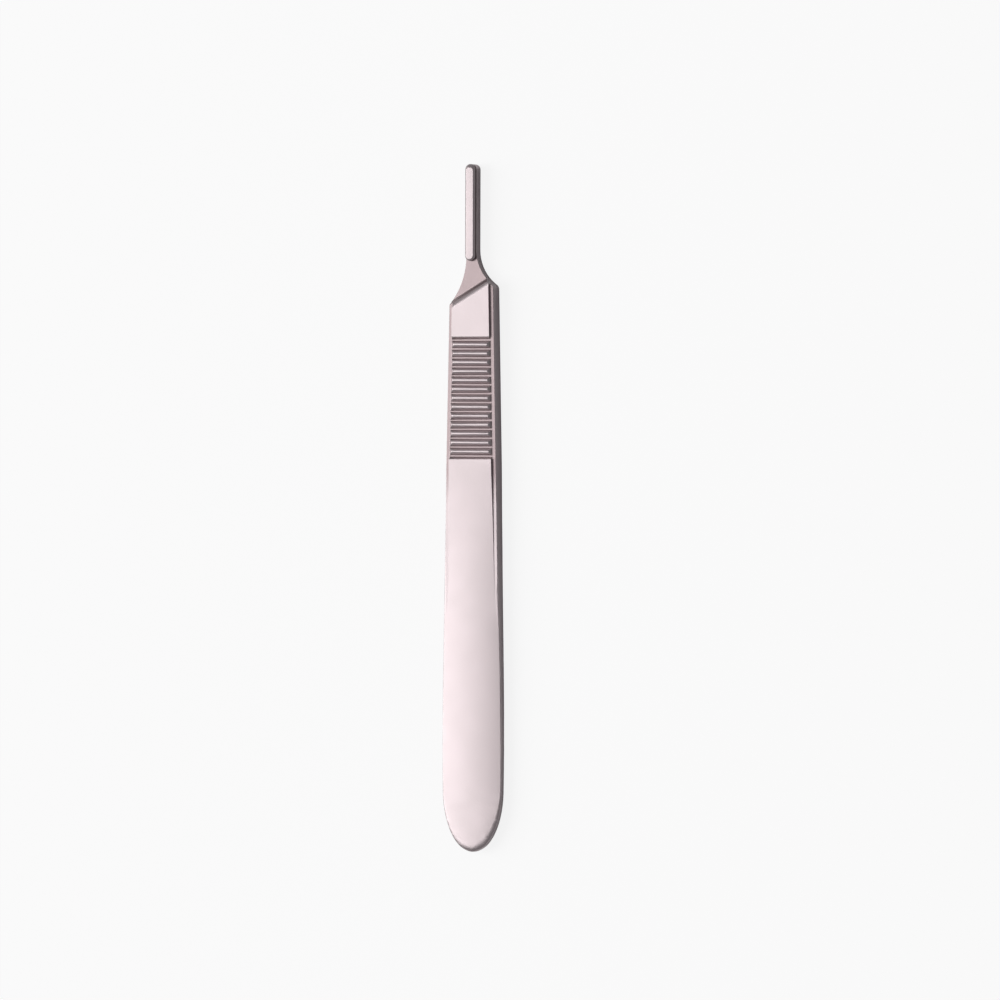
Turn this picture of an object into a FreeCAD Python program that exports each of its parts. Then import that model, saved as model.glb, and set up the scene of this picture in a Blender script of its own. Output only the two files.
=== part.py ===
import FreeCAD, Part
import math
import os

# Scalpel handle of the long flat pattern, forged and milled from one bar of stainless steel.
# Millimetres. X runs across the handle, Y along it towards the blade fitting, Z up.
# It lies on its back: the raised back face is at Z = 0, and the origin is under the middle
# of its length and width. A station is a distance from the tip of the fitting along Y.

# Outline seen from above
OVERALL_LENGTH = 125.0
SHOULDER_STATION = 25.0
SHOULDER_WIDTH = 8.8
GRIP_END_STATION = 55.0
GRIP_END_WIDTH = 9.96
WAIST_STATION = 85.0
WAIST_WIDTH = 11.22
TAIL_STATION = 100.0
TAIL_WIDTH = 11.76
TAIL_ROUND_LENGTH = 11.0
TAIL_SECTIONS = 9
TAIL_LAST_ANGLE = 88.0
TAIL_CURVE_DEGREE = 3
RIGHT_CORNER_STATION = 22.2
LEFT_CORNER_STATION = 25.0
RIGHT_CORNER_ROUND = 1.0
LEFT_CORNER_ROUND = 0.6

# Thickness seen from the side
GRIP_THICKNESS = 3.7
WAIST_THICKNESS = 2.2
TAIL_THICKNESS = 1.65
CROWN_RADIUS = 80.0
EDGE_ROUND = 0.2
TAIL_ROLL_REACH = 1.2
TAIL_ROLL_FALL = 0.5

# Ledges along both long edges of both faces
LEDGE_WIDTH = 0.7
LEDGE_DROP = 0.5
LEDGE_END_STATION = 85.0

# Transverse finger grooves
GROOVE_COUNT = 14
GROOVE_PITCH = 1.62
FIRST_GROOVE_STATION = 32.0
GROOVE_FLOOR = 0.4
GROOVE_FLANK = 0.4
RIDGE_END_SLOPE = 0.45

# Neck, bed and the slanting shoulder that stops the blade
TANG_WIDTH = 2.0
TANG_OFFSET = -0.46
RIGHT_FLANK_STATION = 15.5
LEFT_FLANK_STATION = 16.6
BED_DEPTH = 1.4
SHOULDER_LINE_STATION = 22.75
SHOULDER_ANGLE = 30.0
SHOULDER_STEEPEST = 68.0
SHOULDER_FOOT_RADIUS = 0.6
SHOULDER_CREST_RADIUS = 1.5
BACK_SHOULDER_STATION = 23.5
BACK_SHOULDER_SLOPE = 0.6

# Lug that holds the blade: a head on a narrower web
LUG_LENGTH = 17.6
LUG_HEIGHT = 0.85
BLADE_GAP = 0.45
UNDERCUT = 0.45
LUG_BEVEL = 0.3
NOSE_BEVEL_LENGTH = 0.6

# How far a cutting shape reaches past the surface that it cuts
OVERRUN = 2.0

# How near a point has to be to count as the same place
SNAP = 0.01

# How far the crest's arc stands over the face, so that the two cross cleanly
CREST_PROUD = 0.01

# The most of a thin section that its rolled edge may take up
END_SHARE = 0.9

# Pull of a Bezier curve's inner poles that makes it a quarter circle
ROUND_PULL = 0.5523

MID = GRIP_THICKNESS / 2
LEDGE_LEVEL = MID - LEDGE_DROP
BED_LEVEL = MID - BED_DEPTH
TANG_LEFT = TANG_OFFSET - TANG_WIDTH / 2
TANG_RIGHT = TANG_OFFSET + TANG_WIDTH / 2
REACH = TAIL_WIDTH / 2 + OVERRUN
FAR = 3 * REACH


def point(x, station, height):
    """A point from its side offset, its station and its height over the middle plane."""
    return FreeCAD.Vector(x, OVERALL_LENGTH / 2 - station, MID + height)


def line(start, end):
    """A straight edge."""
    return Part.LineSegment(start, end).toShape()


def solid_from(edges, direction):
    """A prism from a closed run of edges."""
    return Part.Face(Part.Wire(edges)).extrude(direction)


def polygon_prism(points, direction):
    """A prism from the corners of a polygon."""
    return Part.Face(Part.makePolygon(points + points[:1])).extrude(direction)


def on_both_faces(tool):
    """A cutting shape for the front face, with its mirror image for the back face."""
    return [tool, tool.mirror(FreeCAD.Vector(0, 0, MID), FreeCAD.Vector(0, 0, 1))]


def half_width(station):
    """Half the body's width where its two sides run straight, or that line carried on."""
    share = (station - SHOULDER_STATION) / (GRIP_END_STATION - SHOULDER_STATION)
    return (SHOULDER_WIDTH + share * (GRIP_END_WIDTH - SHOULDER_WIDTH)) / 2


def flank_arc(tang_side, start_station, corner_side, corner_station):
    """The hollow arc that leaves the tang along its side and ends at a shoulder corner."""
    across = corner_side - tang_side
    along = corner_station - start_station
    radius = (across ** 2 + along ** 2) / (2 * abs(across))
    sweep = math.asin(along / radius) / 2
    hollow = math.copysign(radius * (1 - math.cos(sweep)), across)
    middle = point(tang_side + hollow, start_station + radius * math.sin(sweep), 0)
    start = point(tang_side, start_station, 0)
    return Part.Arc(start, middle, point(corner_side, corner_station, 0)).toShape()


def is_corner(edge):
    """Whether an upright edge stands at one of the two corners behind the neck."""
    height = edge.CenterOfMass.z - MID
    corners = [
        point(half_width(RIGHT_CORNER_STATION), RIGHT_CORNER_STATION, height),
        point(-half_width(LEFT_CORNER_STATION), LEFT_CORNER_STATION, height),
    ]
    return any(edge.CenterOfMass.distanceToPoint(corner) < SNAP for corner in corners)


def front_outline():
    """The tang, the hollow neck and the grip as one plain plate of the grip's thickness."""
    right_corner = half_width(RIGHT_CORNER_STATION)
    left_corner = -half_width(LEFT_CORNER_STATION)
    rear_half = half_width(GRIP_END_STATION)
    tip_radius = TANG_WIDTH / 2
    edges = [
        Part.Arc(
            point(TANG_LEFT, tip_radius, 0),
            point(TANG_OFFSET, 0, 0),
            point(TANG_RIGHT, tip_radius, 0),
        ).toShape(),
        line(point(TANG_RIGHT, tip_radius, 0), point(TANG_RIGHT, RIGHT_FLANK_STATION, 0)),
        flank_arc(TANG_RIGHT, RIGHT_FLANK_STATION, right_corner, RIGHT_CORNER_STATION),
        line(point(right_corner, RIGHT_CORNER_STATION, 0), point(rear_half, GRIP_END_STATION, 0)),
        line(point(rear_half, GRIP_END_STATION, 0), point(-rear_half, GRIP_END_STATION, 0)),
        line(point(-rear_half, GRIP_END_STATION, 0), point(left_corner, LEFT_CORNER_STATION, 0)),
        flank_arc(TANG_LEFT, LEFT_FLANK_STATION, left_corner, LEFT_CORNER_STATION),
        line(point(TANG_LEFT, LEFT_FLANK_STATION, 0), point(TANG_LEFT, tip_radius, 0)),
    ]
    wire = Part.Wire(edges)
    wire.translate(FreeCAD.Vector(0, 0, -MID))
    prism = Part.Face(wire).extrude(FreeCAD.Vector(0, 0, GRIP_THICKNESS))
    for side, radius in ((1, RIGHT_CORNER_ROUND), (-1, LEFT_CORNER_ROUND)):
        corners = [edge for edge in prism.Edges if side * edge.CenterOfMass.x > 0 and is_corner(edge)]
        prism = prism.makeFillet(radius, corners)
    return prism


def bezier(*poles):
    """A Bezier edge through its two end poles."""
    curve = Part.BezierCurve()
    curve.setPoles(list(poles))
    return curve.toShape()


def section(station, half, rise, crown, reach, fall):
    """A cross section of the rear: two crowned faces that roll over into straight sides.

    The rolled edge takes up reach across and fall downwards."""
    inner = half - reach
    face_rise = rise - crown * inner ** 2 / 2
    apex = rise + crown * inner ** 2 / 2
    side_rise = face_rise - fall
    pull = ROUND_PULL * reach
    drop = ROUND_PULL * fall
    sag = crown * inner * pull
    edges = []
    for up in (1, -1):
        start = point(-up * inner, station, up * face_rise)
        end = point(up * inner, station, up * face_rise)
        side_top = point(up * half, station, up * side_rise)
        side_low = point(up * half, station, -up * side_rise)
        far = point(up * inner, station, -up * face_rise)
        edges += [
            bezier(start, point(0, station, up * apex), end),
            bezier(end, point(up * (inner + pull), station, up * (face_rise - sag)),
                   point(up * half, station, up * (side_rise + drop)), side_top),
            line(side_top, side_low),
            bezier(side_low, point(up * half, station, -up * (side_rise + drop)),
                   point(up * (inner + pull), station, -up * (face_rise - sag)), far),
        ]
    return Part.Wire(edges)


def tail_section(angle):
    """A section of the rounded tail, at an angle round its half ellipse."""
    crown = 1 / CROWN_RADIUS
    half = TAIL_WIDTH / 2 * math.cos(angle)
    station = OVERALL_LENGTH - TAIL_ROUND_LENGTH * (1 - math.sin(angle))
    across = math.cos(angle) / (TAIL_WIDTH / 2)
    along = math.sin(angle) / TAIL_ROUND_LENGTH
    squareness = across / math.hypot(across, along)
    growth = math.sin(angle)
    reach = (EDGE_ROUND + growth * (TAIL_ROLL_REACH - EDGE_ROUND)) / squareness
    fall = EDGE_ROUND + growth * (TAIL_ROLL_FALL - EDGE_ROUND)
    rise = TAIL_THICKNESS / 2
    to_end = OVERALL_LENGTH - station
    if to_end < TAIL_ROLL_REACH:
        share = 1 - to_end / TAIL_ROLL_REACH
        rise -= TAIL_ROLL_FALL * (1 - math.sqrt(1 - share ** 2))
    reach = min(reach, END_SHARE * half)
    fall = min(fall, END_SHARE * (rise - crown * half ** 2 / 2))
    return section(station, half, rise, crown, reach, fall)


def rear_bar():
    """The bar behind the grip: it thins, widens and ends in a rolled, rounded tail."""
    crown = 1 / CROWN_RADIUS
    between = (TAIL_STATION - WAIST_STATION) / (OVERALL_LENGTH - TAIL_ROUND_LENGTH - WAIST_STATION)
    between_rise = (WAIST_THICKNESS + between * (TAIL_THICKNESS - WAIST_THICKNESS)) / 2
    taper = [
        section(GRIP_END_STATION, GRIP_END_WIDTH / 2, MID, 0, EDGE_ROUND, EDGE_ROUND),
        section(WAIST_STATION, WAIST_WIDTH / 2, WAIST_THICKNESS / 2, crown, EDGE_ROUND, EDGE_ROUND),
        section(TAIL_STATION, TAIL_WIDTH / 2, between_rise, crown, EDGE_ROUND, EDGE_ROUND),
        tail_section(0),
    ]
    step = math.radians(TAIL_LAST_ANGLE) / (TAIL_SECTIONS - 1)
    tail = [tail_section(index * step) for index in range(TAIL_SECTIONS)]
    rounded = Part.makeLoft(tail, True, False, False, TAIL_CURVE_DEGREE)
    return Part.makeLoft(taper, True).fuse(rounded)


def ledge_cuts():
    """The rebates along both long edges: level beside the grip, then rising to the face."""
    inner = half_width(LEDGE_END_STATION) - LEDGE_WIDTH
    run_out = WAIST_THICKNESS / 2 - inner ** 2 / 2 / CROWN_RADIUS + SNAP
    above = MID + OVERRUN
    slab = polygon_prism([
        point(-REACH, -OVERRUN, LEDGE_LEVEL),
        point(-REACH, GRIP_END_STATION, LEDGE_LEVEL),
        point(-REACH, LEDGE_END_STATION, run_out),
        point(-REACH, LEDGE_END_STATION + OVERRUN, above),
        point(-REACH, -OVERRUN, above),
    ], FreeCAD.Vector(2 * REACH, 0, 0))
    front_half = half_width(-OVERRUN) - LEDGE_WIDTH
    rear_station = LEDGE_END_STATION + 2 * OVERRUN
    rear_half = half_width(rear_station) - LEDGE_WIDTH
    plateau = polygon_prism([
        point(-front_half, -OVERRUN, 0),
        point(front_half, -OVERRUN, 0),
        point(rear_half, rear_station, 0),
        point(-rear_half, rear_station, 0),
    ], FreeCAD.Vector(0, 0, above + OVERRUN))
    return on_both_faces(slab.cut(plateau))


def groove_cuts():
    """The finger grooves: trapezoids across the raised face, their floors level with the ledges."""
    cuts = []
    rise = OVERRUN / LEDGE_DROP * GROOVE_FLANK
    for index in range(GROOVE_COUNT):
        station = FIRST_GROOVE_STATION + index * GROOVE_PITCH
        floor = GROOVE_FLOOR / 2
        mouth = floor + GROOVE_FLANK + rise
        groove = polygon_prism([
            point(-REACH, station - mouth, MID + OVERRUN),
            point(-REACH, station - floor, LEDGE_LEVEL),
            point(-REACH, station + floor, LEDGE_LEVEL),
            point(-REACH, station + mouth, MID + OVERRUN),
        ], FreeCAD.Vector(2 * REACH, 0, 0))
        cuts += on_both_faces(groove)
    return cuts


def ridge_end_cuts():
    """The slopes that take the ridges' ends down to the ledges on both sides."""
    span = (GROOVE_COUNT - 1) * GROOVE_PITCH
    stations = [FIRST_GROOVE_STATION, FIRST_GROOVE_STATION + span]
    cuts = []
    for side in (-1, 1):
        sections = []
        for station in stations:
            ledge = half_width(station) - LEDGE_WIDTH
            corners = [
                point(side * ledge, station, LEDGE_LEVEL),
                point(side * (ledge - RIDGE_END_SLOPE), station, MID),
                point(side * ledge, station, MID),
            ]
            sections.append(Part.makePolygon(corners + corners[:1]))
        cuts += on_both_faces(Part.makeLoft(sections, True, True))
    return cuts


def bed_cut():
    """The space above the bed, in front of the slanting shoulder: a round foot, a short
    straight wall and a round crest."""
    above = MID + OVERRUN
    steepest = math.radians(SHOULDER_STEEPEST)
    crest_height = MID + CREST_PROUD - SHOULDER_CREST_RADIUS
    foot_height = BED_LEVEL + SHOULDER_FOOT_RADIUS
    round_span = (SHOULDER_CREST_RADIUS + SHOULDER_FOOT_RADIUS) * math.cos(steepest)
    half_wall = (crest_height - foot_height + round_span) / math.tan(steepest) / 2
    crest_station = SHOULDER_LINE_STATION + half_wall + SHOULDER_CREST_RADIUS * math.sin(steepest)
    foot_station = SHOULDER_LINE_STATION - half_wall - SHOULDER_FOOT_RADIUS * math.sin(steepest)

    def on_crest(angle):
        """A point of the crest's arc, at an angle from its top."""
        return point(-FAR, crest_station - SHOULDER_CREST_RADIUS * math.sin(angle),
                     crest_height + SHOULDER_CREST_RADIUS * math.cos(angle))

    def on_foot(angle):
        """A point of the foot's arc, at an angle from its bottom."""
        return point(-FAR, foot_station + SHOULDER_FOOT_RADIUS * math.sin(angle),
                     foot_height - SHOULDER_FOOT_RADIUS * math.cos(angle))

    crest_top = point(-FAR, crest_station, above)
    far_low = point(-FAR, -FAR, BED_LEVEL)
    far_top = point(-FAR, -FAR, above)
    tool = solid_from([
        line(far_low, on_foot(0)),
        Part.Arc(on_foot(0), on_foot(steepest / 2), on_foot(steepest)).toShape(),
        line(on_foot(steepest), on_crest(steepest)),
        Part.Arc(on_crest(steepest), on_crest(steepest / 2), on_crest(0)).toShape(),
        line(on_crest(0), crest_top),
        line(crest_top, far_top),
        line(far_top, far_low),
    ], FreeCAD.Vector(2 * FAR, 0, 0))
    tool.rotate(point(0, SHOULDER_LINE_STATION, 0), FreeCAD.Vector(0, 0, 1), SHOULDER_ANGLE)
    return tool


def back_cut():
    """The step that keeps the back of the neck and tang level with the back ledges."""
    below = -MID - OVERRUN
    lean = BACK_SHOULDER_SLOPE / LEDGE_DROP
    return polygon_prism([
        point(-REACH, -OVERRUN, -LEDGE_LEVEL),
        point(-REACH, BACK_SHOULDER_STATION, -LEDGE_LEVEL),
        point(-REACH, BACK_SHOULDER_STATION + lean * (-LEDGE_LEVEL - below), below),
        point(-REACH, -OVERRUN, below),
    ], FreeCAD.Vector(2 * REACH, 0, 0))


def lug_outline(inset, nose, height):
    """The lug's outline at one height, drawn in by the inset and ending at the nose's station."""
    half = TANG_WIDTH / 2 - inset
    left, right = TANG_OFFSET - half, TANG_OFFSET + half
    front, rear = nose + half, LUG_LENGTH - TANG_WIDTH / 2
    return Part.Wire([
        Part.Arc(point(left, front, height), point(TANG_OFFSET, nose, height),
                 point(right, front, height)).toShape(),
        line(point(right, front, height), point(right, rear, height)),
        Part.Arc(point(right, rear, height), point(TANG_OFFSET, rear + half, height),
                 point(left, rear, height)).toShape(),
        line(point(left, rear, height), point(left, front, height)),
    ])


def lug():
    """The blade lug: a head bevelled all round, longer at its nose, on a narrower web."""
    top = BED_LEVEL + LUG_HEIGHT
    under = BED_LEVEL + BLADE_GAP
    bevel_foot = top - LUG_BEVEL
    block = Part.Face(lug_outline(0, 0, BED_LEVEL)).extrude(
        FreeCAD.Vector(0, 0, bevel_foot - BED_LEVEL))
    slots = []
    for side in (-1, 1):
        web = TANG_OFFSET + side * (TANG_WIDTH / 2 - UNDERCUT)
        slots.append(polygon_prism([
            point(web, -OVERRUN, BED_LEVEL),
            point(web, -OVERRUN, under),
            point(side * REACH, -OVERRUN, under),
            point(side * REACH, -OVERRUN, BED_LEVEL),
        ], FreeCAD.Vector(0, -LUG_LENGTH - 2 * OVERRUN, 0)))
    crown = Part.makeLoft([
        lug_outline(0, 0, bevel_foot),
        lug_outline(LUG_BEVEL, NOSE_BEVEL_LENGTH, top),
    ], True, True)
    return block.cut(slots).fuse(crown)


def handle():
    """The finished handle."""
    cuts = ledge_cuts() + groove_cuts() + ridge_end_cuts() + [bed_cut(), back_cut()]
    body = front_outline().fuse(rear_bar()).cut(cuts)
    return body.fuse(lug()).removeSplitter()


os.makedirs("parts", exist_ok=True)
shape = handle()
shape.exportStep("parts/handle.step")
box = shape.BoundBox
print("solids", len(shape.Solids), "valid", shape.isValid(), "faces", len(shape.Faces))
print("volume mm3", round(shape.Volume, 1), "centre", shape.CenterOfGravity)
print("box", [round(v, 3) for v in (box.XMin, box.XMax, box.YMin, box.YMax, box.ZMin, box.ZMax)])
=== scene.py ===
import logging
import math
from dataclasses import dataclass, field

import bmesh
import bpy
import numpy as np
from mathutils import Euler, Matrix, Vector
from mathutils.bvhtree import BVHTree
from mathutils.kdtree import KDTree


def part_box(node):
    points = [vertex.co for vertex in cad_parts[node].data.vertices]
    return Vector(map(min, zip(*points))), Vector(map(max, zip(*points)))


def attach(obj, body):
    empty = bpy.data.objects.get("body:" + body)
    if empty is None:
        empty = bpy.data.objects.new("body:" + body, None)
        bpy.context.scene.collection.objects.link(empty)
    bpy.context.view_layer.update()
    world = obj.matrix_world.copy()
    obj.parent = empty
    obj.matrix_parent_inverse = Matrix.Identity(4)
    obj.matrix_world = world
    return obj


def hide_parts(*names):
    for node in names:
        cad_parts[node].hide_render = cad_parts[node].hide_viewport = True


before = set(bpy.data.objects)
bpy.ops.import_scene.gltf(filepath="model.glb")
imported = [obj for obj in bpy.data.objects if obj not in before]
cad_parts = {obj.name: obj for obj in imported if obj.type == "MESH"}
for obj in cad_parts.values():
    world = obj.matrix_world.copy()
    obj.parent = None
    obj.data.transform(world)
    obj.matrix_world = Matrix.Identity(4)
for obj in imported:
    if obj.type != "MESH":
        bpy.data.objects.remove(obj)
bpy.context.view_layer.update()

LOG = logging.getLogger("scalpel_handle")
IMAGE_PX = 1000
PX_PER_MM = 5.5
MM = 0.001


def linear(code: str) -> tuple[float, float, float, float]:
    """Turn an sRGB hex colour into linear light.

    Args:
        code: Six hex digits, such as "C8C2C4".

    Returns:
        Red, green, blue and an alpha of 1.
    """
    values = [int(code[i:i + 2], 16) / 255 for i in (0, 2, 4)]
    light = [v / 12.92 if v <= 0.04045 else ((v + 0.055) / 1.055) ** 2.4 for v in values]
    return (light[0], light[1], light[2], 1.0)


def add_node(tree: bpy.types.NodeTree, kind: str, values: dict | None = None,
             links: dict | None = None, **settings: str) -> bpy.types.Node:
    """Add a node with its settings, input values and links.

    Args:
        tree: The node tree that gets the node.
        kind: The node's type name.
        values: Input names or numbers, each with its plain value.
        links: Input names or numbers, each with the output socket that feeds it.
        settings: The node's own options, such as the operation of a math node.

    Returns:
        The new node.
    """
    node = tree.nodes.new(kind)
    for name, setting in settings.items():
        setattr(node, name, setting)
    for name, value in (values or {}).items():
        node.inputs[name].default_value = value
    for name, socket in (links or {}).items():
        tree.links.new(socket, node.inputs[name])
    return node


def new_material(name: str) -> tuple[bpy.types.Material, bpy.types.NodeTree]:
    """Start a material with an empty node tree.

    Args:
        name: The finish's name.

    Returns:
        The material and its tree.
    """
    material = bpy.data.materials.new(name)
    material.use_nodes = True
    material.node_tree.nodes.clear()
    return material, material.node_tree


@dataclass(frozen=True)
class SatinSteel:
    """Stainless steel, bead blasted to a satin that doesn't glare, then lightly brushed.

    Blasting gives a fine even grain and a broad soft highlight. Handling leaves faint
    smoother patches a few millimetres wide. The steps milled below the faces, which are the
    blade's bed, the shoulder and the ledges, get a darker colour, which is painted shade.
    """

    colour: str = "B4A9AB"
    worn_colour: str = "B9AFB0"
    # painted shade: the darker colour of the milled steps, which are the bed, the shoulder and the
    # ledges
    painted_recess_shade: str = "9B8D8E"
    middle_mm: float = 1.85
    ledge_limit_mm: float = 1.5
    bed_limit_mm: float = 0.9
    limit_change_mm: tuple[float, float] = (41.5, 43.5)
    recess_fade_mm: tuple[float, float] = (0.5, 6.5)
    recess_slope: tuple[float, float] = (0.2, 0.4)
    roughness: float = 0.42
    roughness_swing: float = 0.015
    grain_mm: float = 0.22
    grain_detail: float = 2.0
    grain_harshness: float = 0.6
    grain_height_mm: float = 0.0022
    brush_mm: float = 0.30
    brush_detail: float = 3.0
    brush_harshness: float = 0.55
    brush_height_mm: float = 0.0010
    brush_stretch: float = 0.04
    patch_mm: float = 4.0
    patch_detail: float = 3.0
    patch_harshness: float = 0.5
    patch_span: tuple[float, float] = (0.3, 0.7)

    def build(self) -> bpy.types.Material:
        """Make the material.

        Returns:
            The satin steel material.
        """
        material, tree = new_material("satin_stainless_steel")
        place = add_node(tree, "ShaderNodeTexCoord")
        stretch = add_node(tree, "ShaderNodeMapping", {"Scale": (1.0, self.brush_stretch, 1.0)},
                           {"Vector": place.outputs["Object"]})
        grain = add_node(tree, "ShaderNodeTexNoise",
                         {"Scale": 1 / (self.grain_mm * MM), "Detail": self.grain_detail,
                          "Roughness": self.grain_harshness},
                         {"Vector": place.outputs["Object"]})
        brush = add_node(tree, "ShaderNodeTexNoise",
                         {"Scale": 1 / (self.brush_mm * MM), "Detail": self.brush_detail,
                          "Roughness": self.brush_harshness},
                         {"Vector": stretch.outputs["Vector"]})
        patch = add_node(tree, "ShaderNodeTexNoise",
                         {"Scale": 1 / (self.patch_mm * MM), "Detail": self.patch_detail,
                          "Roughness": self.patch_harshness},
                         {"Vector": place.outputs["Object"]})
        colour = add_node(tree, "ShaderNodeMix",
                          {6: linear(self.colour), 7: linear(self.worn_colour)},
                          {0: patch.outputs["Fac"]}, data_type="RGBA")
        # painted shade: the milled steps are mixed towards the darker colour
        shade = add_node(tree, "ShaderNodeMix", {7: linear(self.painted_recess_shade)},
                         {0: self.painted_shade_mask(tree, place), 6: colour.outputs[2]}, data_type="RGBA")
        gloss = add_node(tree, "ShaderNodeMapRange",
                         {"From Min": self.patch_span[0], "From Max": self.patch_span[1],
                          "To Min": self.roughness - self.roughness_swing,
                          "To Max": self.roughness + self.roughness_swing},
                         {"Value": patch.outputs["Fac"]})
        blast = add_node(tree, "ShaderNodeBump",
                         {"Distance": self.grain_height_mm * MM, "Strength": 1.0},
                         {"Height": grain.outputs["Fac"]})
        relief = add_node(tree, "ShaderNodeBump",
                          {"Distance": self.brush_height_mm * MM, "Strength": 1.0},
                          {"Height": brush.outputs["Fac"], "Normal": blast.outputs["Normal"]})
        shader = add_node(tree, "ShaderNodeBsdfPrincipled", {"Metallic": 1.0},
                          {"Base Color": shade.outputs[2],
                           "Roughness": gloss.outputs["Result"],
                           "Normal": relief.outputs["Normal"]})
        add_node(tree, "ShaderNodeOutputMaterial", None, {"Surface": shader.outputs["BSDF"]})
        return material

    def painted_shade_mask(self, tree: bpy.types.NodeTree, place: bpy.types.Node) -> bpy.types.NodeSocket:
        """Find the milled steps by their level, on the parts that don't stand upright: the mask for
        the painted shade.

        Args:
            tree: The steel's node tree.
            place: The texture coordinate node.

        Returns:
            A socket with 1 on the steps and 0 elsewhere.
        """
        spot = add_node(tree, "ShaderNodeSeparateXYZ", None, {0: place.outputs["Object"]})
        tilt = add_node(tree, "ShaderNodeSeparateXYZ", None, {0: place.outputs["Normal"]})
        above = add_node(tree, "ShaderNodeMath", {1: self.middle_mm * MM},
                         {0: spot.outputs["Z"]}, operation="SUBTRACT")
        level = add_node(tree, "ShaderNodeMath", None, {0: above.outputs[0]},
                         operation="ABSOLUTE")
        limit = add_node(tree, "ShaderNodeMapRange",
                         {"From Min": self.limit_change_mm[0] * MM,
                          "From Max": self.limit_change_mm[1] * MM,
                          "To Min": self.ledge_limit_mm * MM, "To Max": self.bed_limit_mm * MM},
                         {"Value": spot.outputs["Y"]})
        low = add_node(tree, "ShaderNodeMath", None,
                       {0: level.outputs[0], 1: limit.outputs["Result"]}, operation="LESS_THAN")
        front = add_node(tree, "ShaderNodeMapRange",
                         {"From Min": self.recess_fade_mm[0] * MM,
                          "From Max": self.recess_fade_mm[1] * MM},
                         {"Value": spot.outputs["Y"]})
        upward = add_node(tree, "ShaderNodeMath", None, {0: tilt.outputs["Z"]},
                          operation="ABSOLUTE")
        flat = add_node(tree, "ShaderNodeMapRange",
                        {"From Min": self.recess_slope[0], "From Max": self.recess_slope[1]},
                        {"Value": upward.outputs[0]})
        step = add_node(tree, "ShaderNodeMath", None,
                        {0: low.outputs[0], 1: front.outputs["Result"]}, operation="MULTIPLY")
        both = add_node(tree, "ShaderNodeMath", None,
                        {0: step.outputs[0], 1: flat.outputs["Result"]}, operation="MULTIPLY")
        return both.outputs[0]


@dataclass(frozen=True)
class PaleFloor:
    """A matt white board.

    The camera sees most of it as plain white, with the handle's shadow left in it. The steel
    sees that white too, except close by, where its own shadow lies.
    """

    colour: str = "FDFDFD"
    white_share: float = 0.86
    shadow_reach_mm: float = 40.0
    half_width_mm: float = 6.0
    half_length_mm: float = 62.5

    def build(self) -> bpy.types.Material:
        """Make the material.

        Returns:
            The floor material.
        """
        material, tree = new_material("pale_floor")
        place = add_node(tree, "ShaderNodeTexCoord")
        outward = add_node(tree, "ShaderNodeVectorMath", None,
                           {0: place.outputs["Object"]}, operation="ABSOLUTE")
        beyond = add_node(tree, "ShaderNodeVectorMath",
                          {1: (self.half_width_mm * MM, self.half_length_mm * MM, 0.0)},
                          {0: outward.outputs[0]}, operation="SUBTRACT")
        clear = add_node(tree, "ShaderNodeVectorMath", {1: (0.0, 0.0, 0.0)},
                         {0: beyond.outputs[0]}, operation="MAXIMUM")
        gap = add_node(tree, "ShaderNodeVectorMath", None,
                       {0: clear.outputs[0]}, operation="LENGTH")
        open_floor = add_node(tree, "ShaderNodeMapRange",
                              {"From Min": 0.0, "From Max": self.shadow_reach_mm * MM},
                              {"Value": gap.outputs["Value"]}, interpolation_type="SMOOTHSTEP")
        path = add_node(tree, "ShaderNodeLightPath")
        reflected = add_node(tree, "ShaderNodeMath", None,
                             {0: path.outputs["Is Glossy Ray"], 1: open_floor.outputs["Result"]},
                             operation="MULTIPLY")
        seen = add_node(tree, "ShaderNodeMath", None,
                        {0: path.outputs["Is Camera Ray"], 1: path.outputs["Is Transmission Ray"]},
                        operation="MAXIMUM")
        either = add_node(tree, "ShaderNodeMath", None,
                          {0: seen.outputs[0], 1: reflected.outputs[0]}, operation="MAXIMUM")
        share = add_node(tree, "ShaderNodeMath", {1: self.white_share},
                         {0: either.outputs[0]}, operation="MULTIPLY")
        matt = add_node(tree, "ShaderNodeBsdfDiffuse", {"Color": linear(self.colour)})
        white = add_node(tree, "ShaderNodeEmission", {"Strength": 1.0})
        floor = add_node(tree, "ShaderNodeMixShader", None,
                         {0: share.outputs[0], 1: matt.outputs["BSDF"], 2: white.outputs[0]})
        add_node(tree, "ShaderNodeOutputMaterial", None, {"Surface": floor.outputs["Shader"]})
        return material


@dataclass
class CrownedFace:
    """One of the two gently crowned faces behind the grip, known by points that lie on it."""

    points: list[Vector]
    neighbours: int = 16
    nearness: float = 0.1

    def __post_init__(self) -> None:
        self.tree = KDTree(len(self.points))
        for index, point in enumerate(self.points):
            self.tree.insert(point, index)
        self.tree.balance()

    def normal(self, place: Vector) -> Vector:
        """Fit a curved patch to the nearest points and take its normal.

        Args:
            place: A point on or very near the face.

        Returns:
            The unit normal, on the upper side.
        """
        near = self.tree.find_n(place, self.neighbours)
        reach = near[-1][2]
        rows, heights = [], []
        for point, _, distance in near:
            x, y = (point.x - place.x) / reach, (point.y - place.y) / reach
            weight = 1 / (self.nearness + distance / reach)
            rows.append([weight * term for term in (1, x, y, x * x, x * y, y * y)])
            heights.append(weight * (point.z - place.z) / reach)
        fit = np.linalg.lstsq(np.array(rows), np.array(heights), rcond=None)[0]
        return Vector((-fit[1], -fit[2], 1)).normalized()


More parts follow.
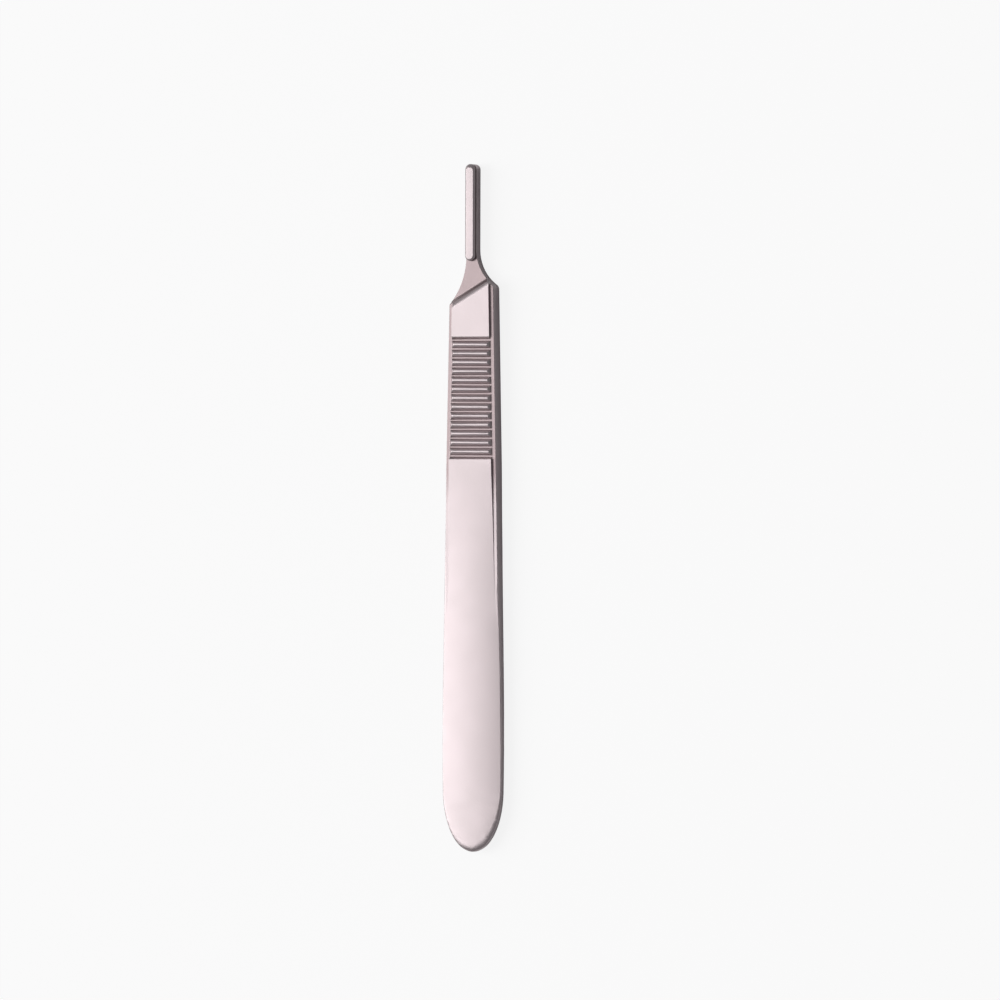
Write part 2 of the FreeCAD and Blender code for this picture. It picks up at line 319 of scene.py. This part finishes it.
@dataclass
class Handle:
    """The steel handle: the solid's own form with its sharp edges broken as polishing does.

    The solid's facets are joined, its edges get a small round, those of the grip a wider
    one, and the crowned faces are shaded by their true curve in place of their facets.
    Starts, ends and spans are stations, which are distances behind the tip.
    """

    node: str = "handle"
    edge_break_mm: float = 0.06
    grip_break_mm: float = 0.13
    grip_span_mm: tuple[float, float] = (31.2, 53.8)
    edge_segments: int = 2
    edge_angle_deg: float = 28.0
    edge_end_mm: float = 112.0
    fold_reach_mm: float = 0.12
    mend_rounds: int = 4
    merge_mm: float = 0.0005
    flat_angle_deg: float = 0.02
    crown_start_mm: float = 55.0
    crown_end_mm: float = 113.5
    ledge_end_mm: float = 85.0
    plateau_half_mm: float = 4.28
    plateau_growth: float = 0.01933
    crown_slope_deg: float = 6.5
    crown_facet_mm2: float = 0.3
    like_angle_deg: float = 15.0
    winning_share: float = 0.6
    finish: SatinSteel = field(default_factory=SatinSteel)

    def build(self) -> bpy.types.Object:
        """Copy the solid, refine it and give it its finish.

        Returns:
            The dressed handle.
        """
        low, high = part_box(self.node)
        self.tip = high[1]
        self.middle = (low[2] + high[2]) / 2
        shape = bmesh.new()
        shape.from_mesh(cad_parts[self.node].data)
        bmesh.ops.remove_doubles(shape, verts=shape.verts, dist=self.merge_mm * MM)
        self.crowns = {side: CrownedFace(self.crown_points(shape, side)) for side in (1, -1)}
        self.even_out(shape)
        solid = BVHTree.FromBMesh(shape)
        self.weigh_edges(shape)
        sharp = bpy.data.meshes.new("sharp_handle")
        shape.to_mesh(sharp)
        shape.free()
        mesh = self.break_edges(sharp)
        self.mend_folds(mesh, solid)
        self.shade(mesh)
        mesh.materials.append(self.finish.build())
        piece = bpy.data.objects.new("steel_handle", mesh)
        bpy.context.scene.collection.objects.link(piece)
        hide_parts(self.node)
        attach(piece, "root")
        return piece

    def station(self, place: Vector) -> float:
        """The distance behind the tip, in millimetres."""
        return (self.tip - place.y) / MM

    def on_crown(self, place: Vector, normal: Vector) -> bool:
        """Whether a facet belongs to a crowned face.

        Args:
            place: The facet's middle.
            normal: The facet's normal.

        Returns:
            True between the grip and the tail, off the ledges, where the facet is near flat.
        """
        station = self.station(place)
        if not self.crown_start_mm < station < self.crown_end_mm:
            return False
        plateau = self.plateau_half_mm + self.plateau_growth * (station - self.crown_start_mm)
        if station < self.ledge_end_mm and abs(place.x) > plateau * MM:
            return False
        return abs(normal.z) > math.cos(math.radians(self.crown_slope_deg))

    def crown_points(self, shape: bmesh.types.BMesh, side: int) -> list[Vector]:
        """Collect the solid's own points on one crowned face.

        Args:
            shape: The joined copy of the solid.
            side: 1 for the front face, -1 for the back.

        Returns:
            Points, those of the back turned over so that they face upwards too.
        """
        found = set()
        for face in shape.faces:
            if face.calc_area() < self.crown_facet_mm2 * MM ** 2 or face.normal.z * side < 0:
                continue
            if self.on_crown(face.calc_center_median(), face.normal):
                found.update(face.verts)
        points = [vert.co for vert in found]
        return [Vector((co.x, co.y, side * (co.z - self.middle))) for co in points]

    def even_out(self, shape: bmesh.types.BMesh) -> None:
        """Cut every flat face into compact triangles in place of long fans.

        Args:
            shape: The joined copy of the solid, changed in place.
        """
        bmesh.ops.dissolve_limit(
            shape, angle_limit=math.radians(self.flat_angle_deg),
            verts=shape.verts, edges=shape.edges)
        bmesh.ops.triangulate(
            shape, faces=shape.faces, quad_method="BEAUTY", ngon_method="BEAUTY")

    def weigh_edges(self, shape: bmesh.types.BMesh) -> None:
        """Note on every edge how much of the widest round it gets, which the grip's edges have.

        Args:
            shape: The joined copy of the solid, changed in place.
        """
        weight = shape.edges.layers.float.new("bevel_weight_edge")
        limit = math.radians(self.edge_angle_deg)
        first, last = self.grip_span_mm
        for edge in shape.edges:
            front, rear = sorted(self.station(vert.co) for vert in edge.verts)
            if edge.calc_face_angle(0) > limit and rear < self.edge_end_mm:
                on_grip = first < front and rear < last
                edge[weight] = 1.0 if on_grip else self.edge_break_mm / self.grip_break_mm

    def break_edges(self, sharp: bpy.types.Mesh) -> bpy.types.Mesh:
        """Round the weighted edges a little.

        Args:
            sharp: The solid's mesh with its edge weights, removed when done.

        Returns:
            A new mesh with broken edges.
        """
        carrier = bpy.data.objects.new("edge_carrier", sharp)
        bpy.context.scene.collection.objects.link(carrier)
        rounding = carrier.modifiers.new("broken_edges", "BEVEL")
        rounding.limit_method = "WEIGHT"
        rounding.width = self.grip_break_mm * MM
        rounding.segments = self.edge_segments
        rounding.use_clamp_overlap = False
        graph = bpy.context.evaluated_depsgraph_get()
        mesh = bpy.data.meshes.new_from_object(carrier.evaluated_get(graph))
        mesh.name = "steel_handle"
        bpy.data.objects.remove(carrier)
        bpy.data.meshes.remove(sharp)
        return mesh

    def mend_folds(self, mesh: bpy.types.Mesh, solid: BVHTree) -> None:
        """Close up the tiny faces that a round has folded over in a tight corner.

        What this leaves hanging by one edge, or by none, is taken off.

        Args:
            mesh: The rounded mesh, changed in place.
            solid: The unrounded surface, which tells where a face should look.
        """
        shape = bmesh.new()
        shape.from_mesh(mesh)
        bmesh.ops.triangulate(
            shape, faces=shape.faces, quad_method="BEAUTY", ngon_method="BEAUTY")
        bmesh.ops.dissolve_degenerate(shape, dist=self.merge_mm * MM, edges=shape.edges)
        for _ in range(self.mend_rounds):
            folded = [face for face in shape.faces if self.is_folded(face, solid)]
            short = [min(face.edges, key=bmesh.types.BMEdge.calc_length) for face in folded]
            bmesh.ops.collapse(shape, edges=list(dict.fromkeys(short)))
        flaps = [face for face in shape.faces if sum(edge.is_boundary for edge in face.edges) > 1]
        bmesh.ops.delete(shape, geom=flaps, context="FACES")
        loose = [vert for vert in shape.verts if not vert.link_faces]
        bmesh.ops.delete(shape, geom=loose, context="VERTS")
        shape.to_mesh(mesh)
        shape.free()

    def is_folded(self, face: bmesh.types.BMFace, solid: BVHTree) -> bool:
        """Whether a face looks away from all of the unrounded surface next to it."""
        near = solid.find_nearest_range(face.calc_center_median(), self.fold_reach_mm * MM)
        return bool(near) and max(normal.dot(face.normal) for _, normal, _, _ in near) < 0

    def shade(self, mesh: bpy.types.Mesh) -> None:
        """Shade the handle smooth: flat faces stay flat, crowned faces follow their curve.

        Args:
            mesh: The handle's mesh.
        """
        mesh.shade_smooth()
        around: list[list[tuple[Vector, float]]] = [[] for _ in mesh.vertices]
        for face in mesh.polygons:
            crowned = self.on_crown(face.center, face.normal)
            side = 1 if face.normal.z > 0 else -1
            for index in face.vertices:
                normal = face.normal
                if crowned:
                    co = mesh.vertices[index].co
                    up = self.crowns[side].normal(Vector((co.x, co.y, side * (co.z - self.middle))))
                    normal = Vector((up.x, up.y, side * up.z))
                around[index].append((normal, face.area))
        normals = [self.blend(parts) for parts in around]
        mesh.normals_split_custom_set_from_vertices(normals)

    def blend(self, parts: list[tuple[Vector, float]]) -> Vector:
        """Blend the normals round one point, where a wide flat face wins over narrow rounds.

        Args:
            parts: The normal and the area of each face at the point.

        Returns:
            The unit normal for the point.
        """
        limit = math.cos(math.radians(self.like_angle_deg))
        groups = [[part for part in parts if part[0].dot(normal) > limit] for normal, _ in parts]
        widest = max(groups, key=lambda group: sum(area for _, area in group))
        share = sum(area for _, area in widest) / sum(area for _, area in parts)
        chosen = widest if share > self.winning_share else parts
        return sum((normal * area for normal, area in chosen), Vector()).normalized()


def facing(back: Vector) -> Euler:
    """Turn a camera or lamp so that its back points one way and +Y is up in its view.

    Args:
        back: The direction from the thing looked at to the camera or lamp.

    Returns:
        The rotation.
    """
    right = Vector((0, 1, 0)).cross(back).normalized()
    return Matrix((right, back.cross(right), back)).transposed().to_euler()


@dataclass
class Studio:
    """The floor, the soft lights and the camera."""

    turn_deg: float = 25.0
    roll_deg: float = 0.15
    camera_distance_m: float = 1.6
    sensor_mm: float = 36.0
    centre_px: tuple[float, float] = (474.0, 508.0)
    floor_size_m: float = 6.0
    floor_finish: PaleFloor = field(default_factory=PaleFloor)
    world_colour: str = "F4F2F5"
    world_strength: float = 0.30
    key_tilt_deg: float = 49.0
    key_lean_deg: float = 4.0
    key_distance_m: float = 2.4
    key_size_m: tuple[float, float] = (2.55, 1.5)
    key_watts: float = 43.0

    def build(self) -> None:
        """Set up everything around the handle."""
        self.make_floor()
        self.make_light()
        self.make_camera()

    def make_floor(self) -> None:
        """Lay the pale floor at the level that the handle lies on."""
        mesh = bpy.data.meshes.new("floor")
        shape = bmesh.new()
        bmesh.ops.create_grid(shape, x_segments=1, y_segments=1, size=self.floor_size_m / 2)
        bmesh.ops.translate(shape, vec=Vector((0, 0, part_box("handle")[0][2])), verts=shape.verts)
        shape.to_mesh(mesh)
        shape.free()
        mesh.materials.append(self.floor_finish.build())
        floor = bpy.data.objects.new("floor", mesh)
        bpy.context.scene.collection.objects.link(floor)

    def make_light(self) -> None:
        """One broad soft lamp over the left, and a dim even room."""
        world = bpy.data.worlds.new("room")
        bpy.context.scene.world = world
        world.use_nodes = True
        world.node_tree.nodes.clear()
        light = add_node(world.node_tree, "ShaderNodeBackground",
                         {"Color": linear(self.world_colour), "Strength": self.world_strength})
        add_node(world.node_tree, "ShaderNodeOutputWorld", None,
                 {"Surface": light.outputs["Background"]})
        data = bpy.data.lights.new("key_lamp", "AREA")
        data.shape = "RECTANGLE"
        data.size, data.size_y = self.key_size_m
        data.energy = self.key_watts
        lamp = bpy.data.objects.new("key_lamp", data)
        tilt = math.radians(self.key_tilt_deg)
        lean = Matrix.Rotation(-math.radians(self.key_lean_deg), 3, "X")
        away = lean @ Vector((-math.sin(tilt), 0, math.cos(tilt)))
        lamp.location = away * self.key_distance_m
        lamp.rotation_euler = facing(away)
        bpy.context.scene.collection.objects.link(lamp)

    def make_camera(self) -> None:
        """Look down at the handle from its right, with a long lens."""
        turn = math.radians(self.turn_deg)
        back = Vector((math.sin(turn), 0, math.cos(turn)))
        right = Vector((math.cos(turn), 0, -math.sin(turn)))
        up = Vector((0, 1, 0))
        low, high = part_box("handle")
        middle = (Vector(low) + Vector(high)) / 2
        aside = (IMAGE_PX / 2 - self.centre_px[0]) / PX_PER_MM * MM
        above = (self.centre_px[1] - IMAGE_PX / 2) / PX_PER_MM * MM
        target = middle + right * aside + up * above
        data = bpy.data.cameras.new("camera")
        data.sensor_width = self.sensor_mm
        frame_width = IMAGE_PX / PX_PER_MM * MM
        data.lens = self.sensor_mm * self.camera_distance_m / frame_width
        camera = bpy.data.objects.new("camera", data)
        camera.location = target + back * self.camera_distance_m
        roll = Matrix.Rotation(math.radians(self.roll_deg), 3, "Z")
        camera.rotation_euler = (facing(back).to_matrix() @ roll).to_euler()
        bpy.context.scene.collection.objects.link(camera)
        bpy.context.scene.camera = camera


def main() -> None:
    """Build the handle and the studio, and log the handle's face count."""
    logging.basicConfig(level=logging.INFO, format="%(name)s: %(message)s")
    piece = Handle().build()
    LOG.info("piece %s: %d faces", piece.name, len(piece.data.polygons))
    Studio().build()
    LOG.info("studio: floor, key lamp, room light and camera")
    bpy.context.scene.view_settings.view_transform = "Standard"
    bpy.context.view_layer.update()
    LOG.info("sizes noted")


if __name__ == "__main__":
    main()
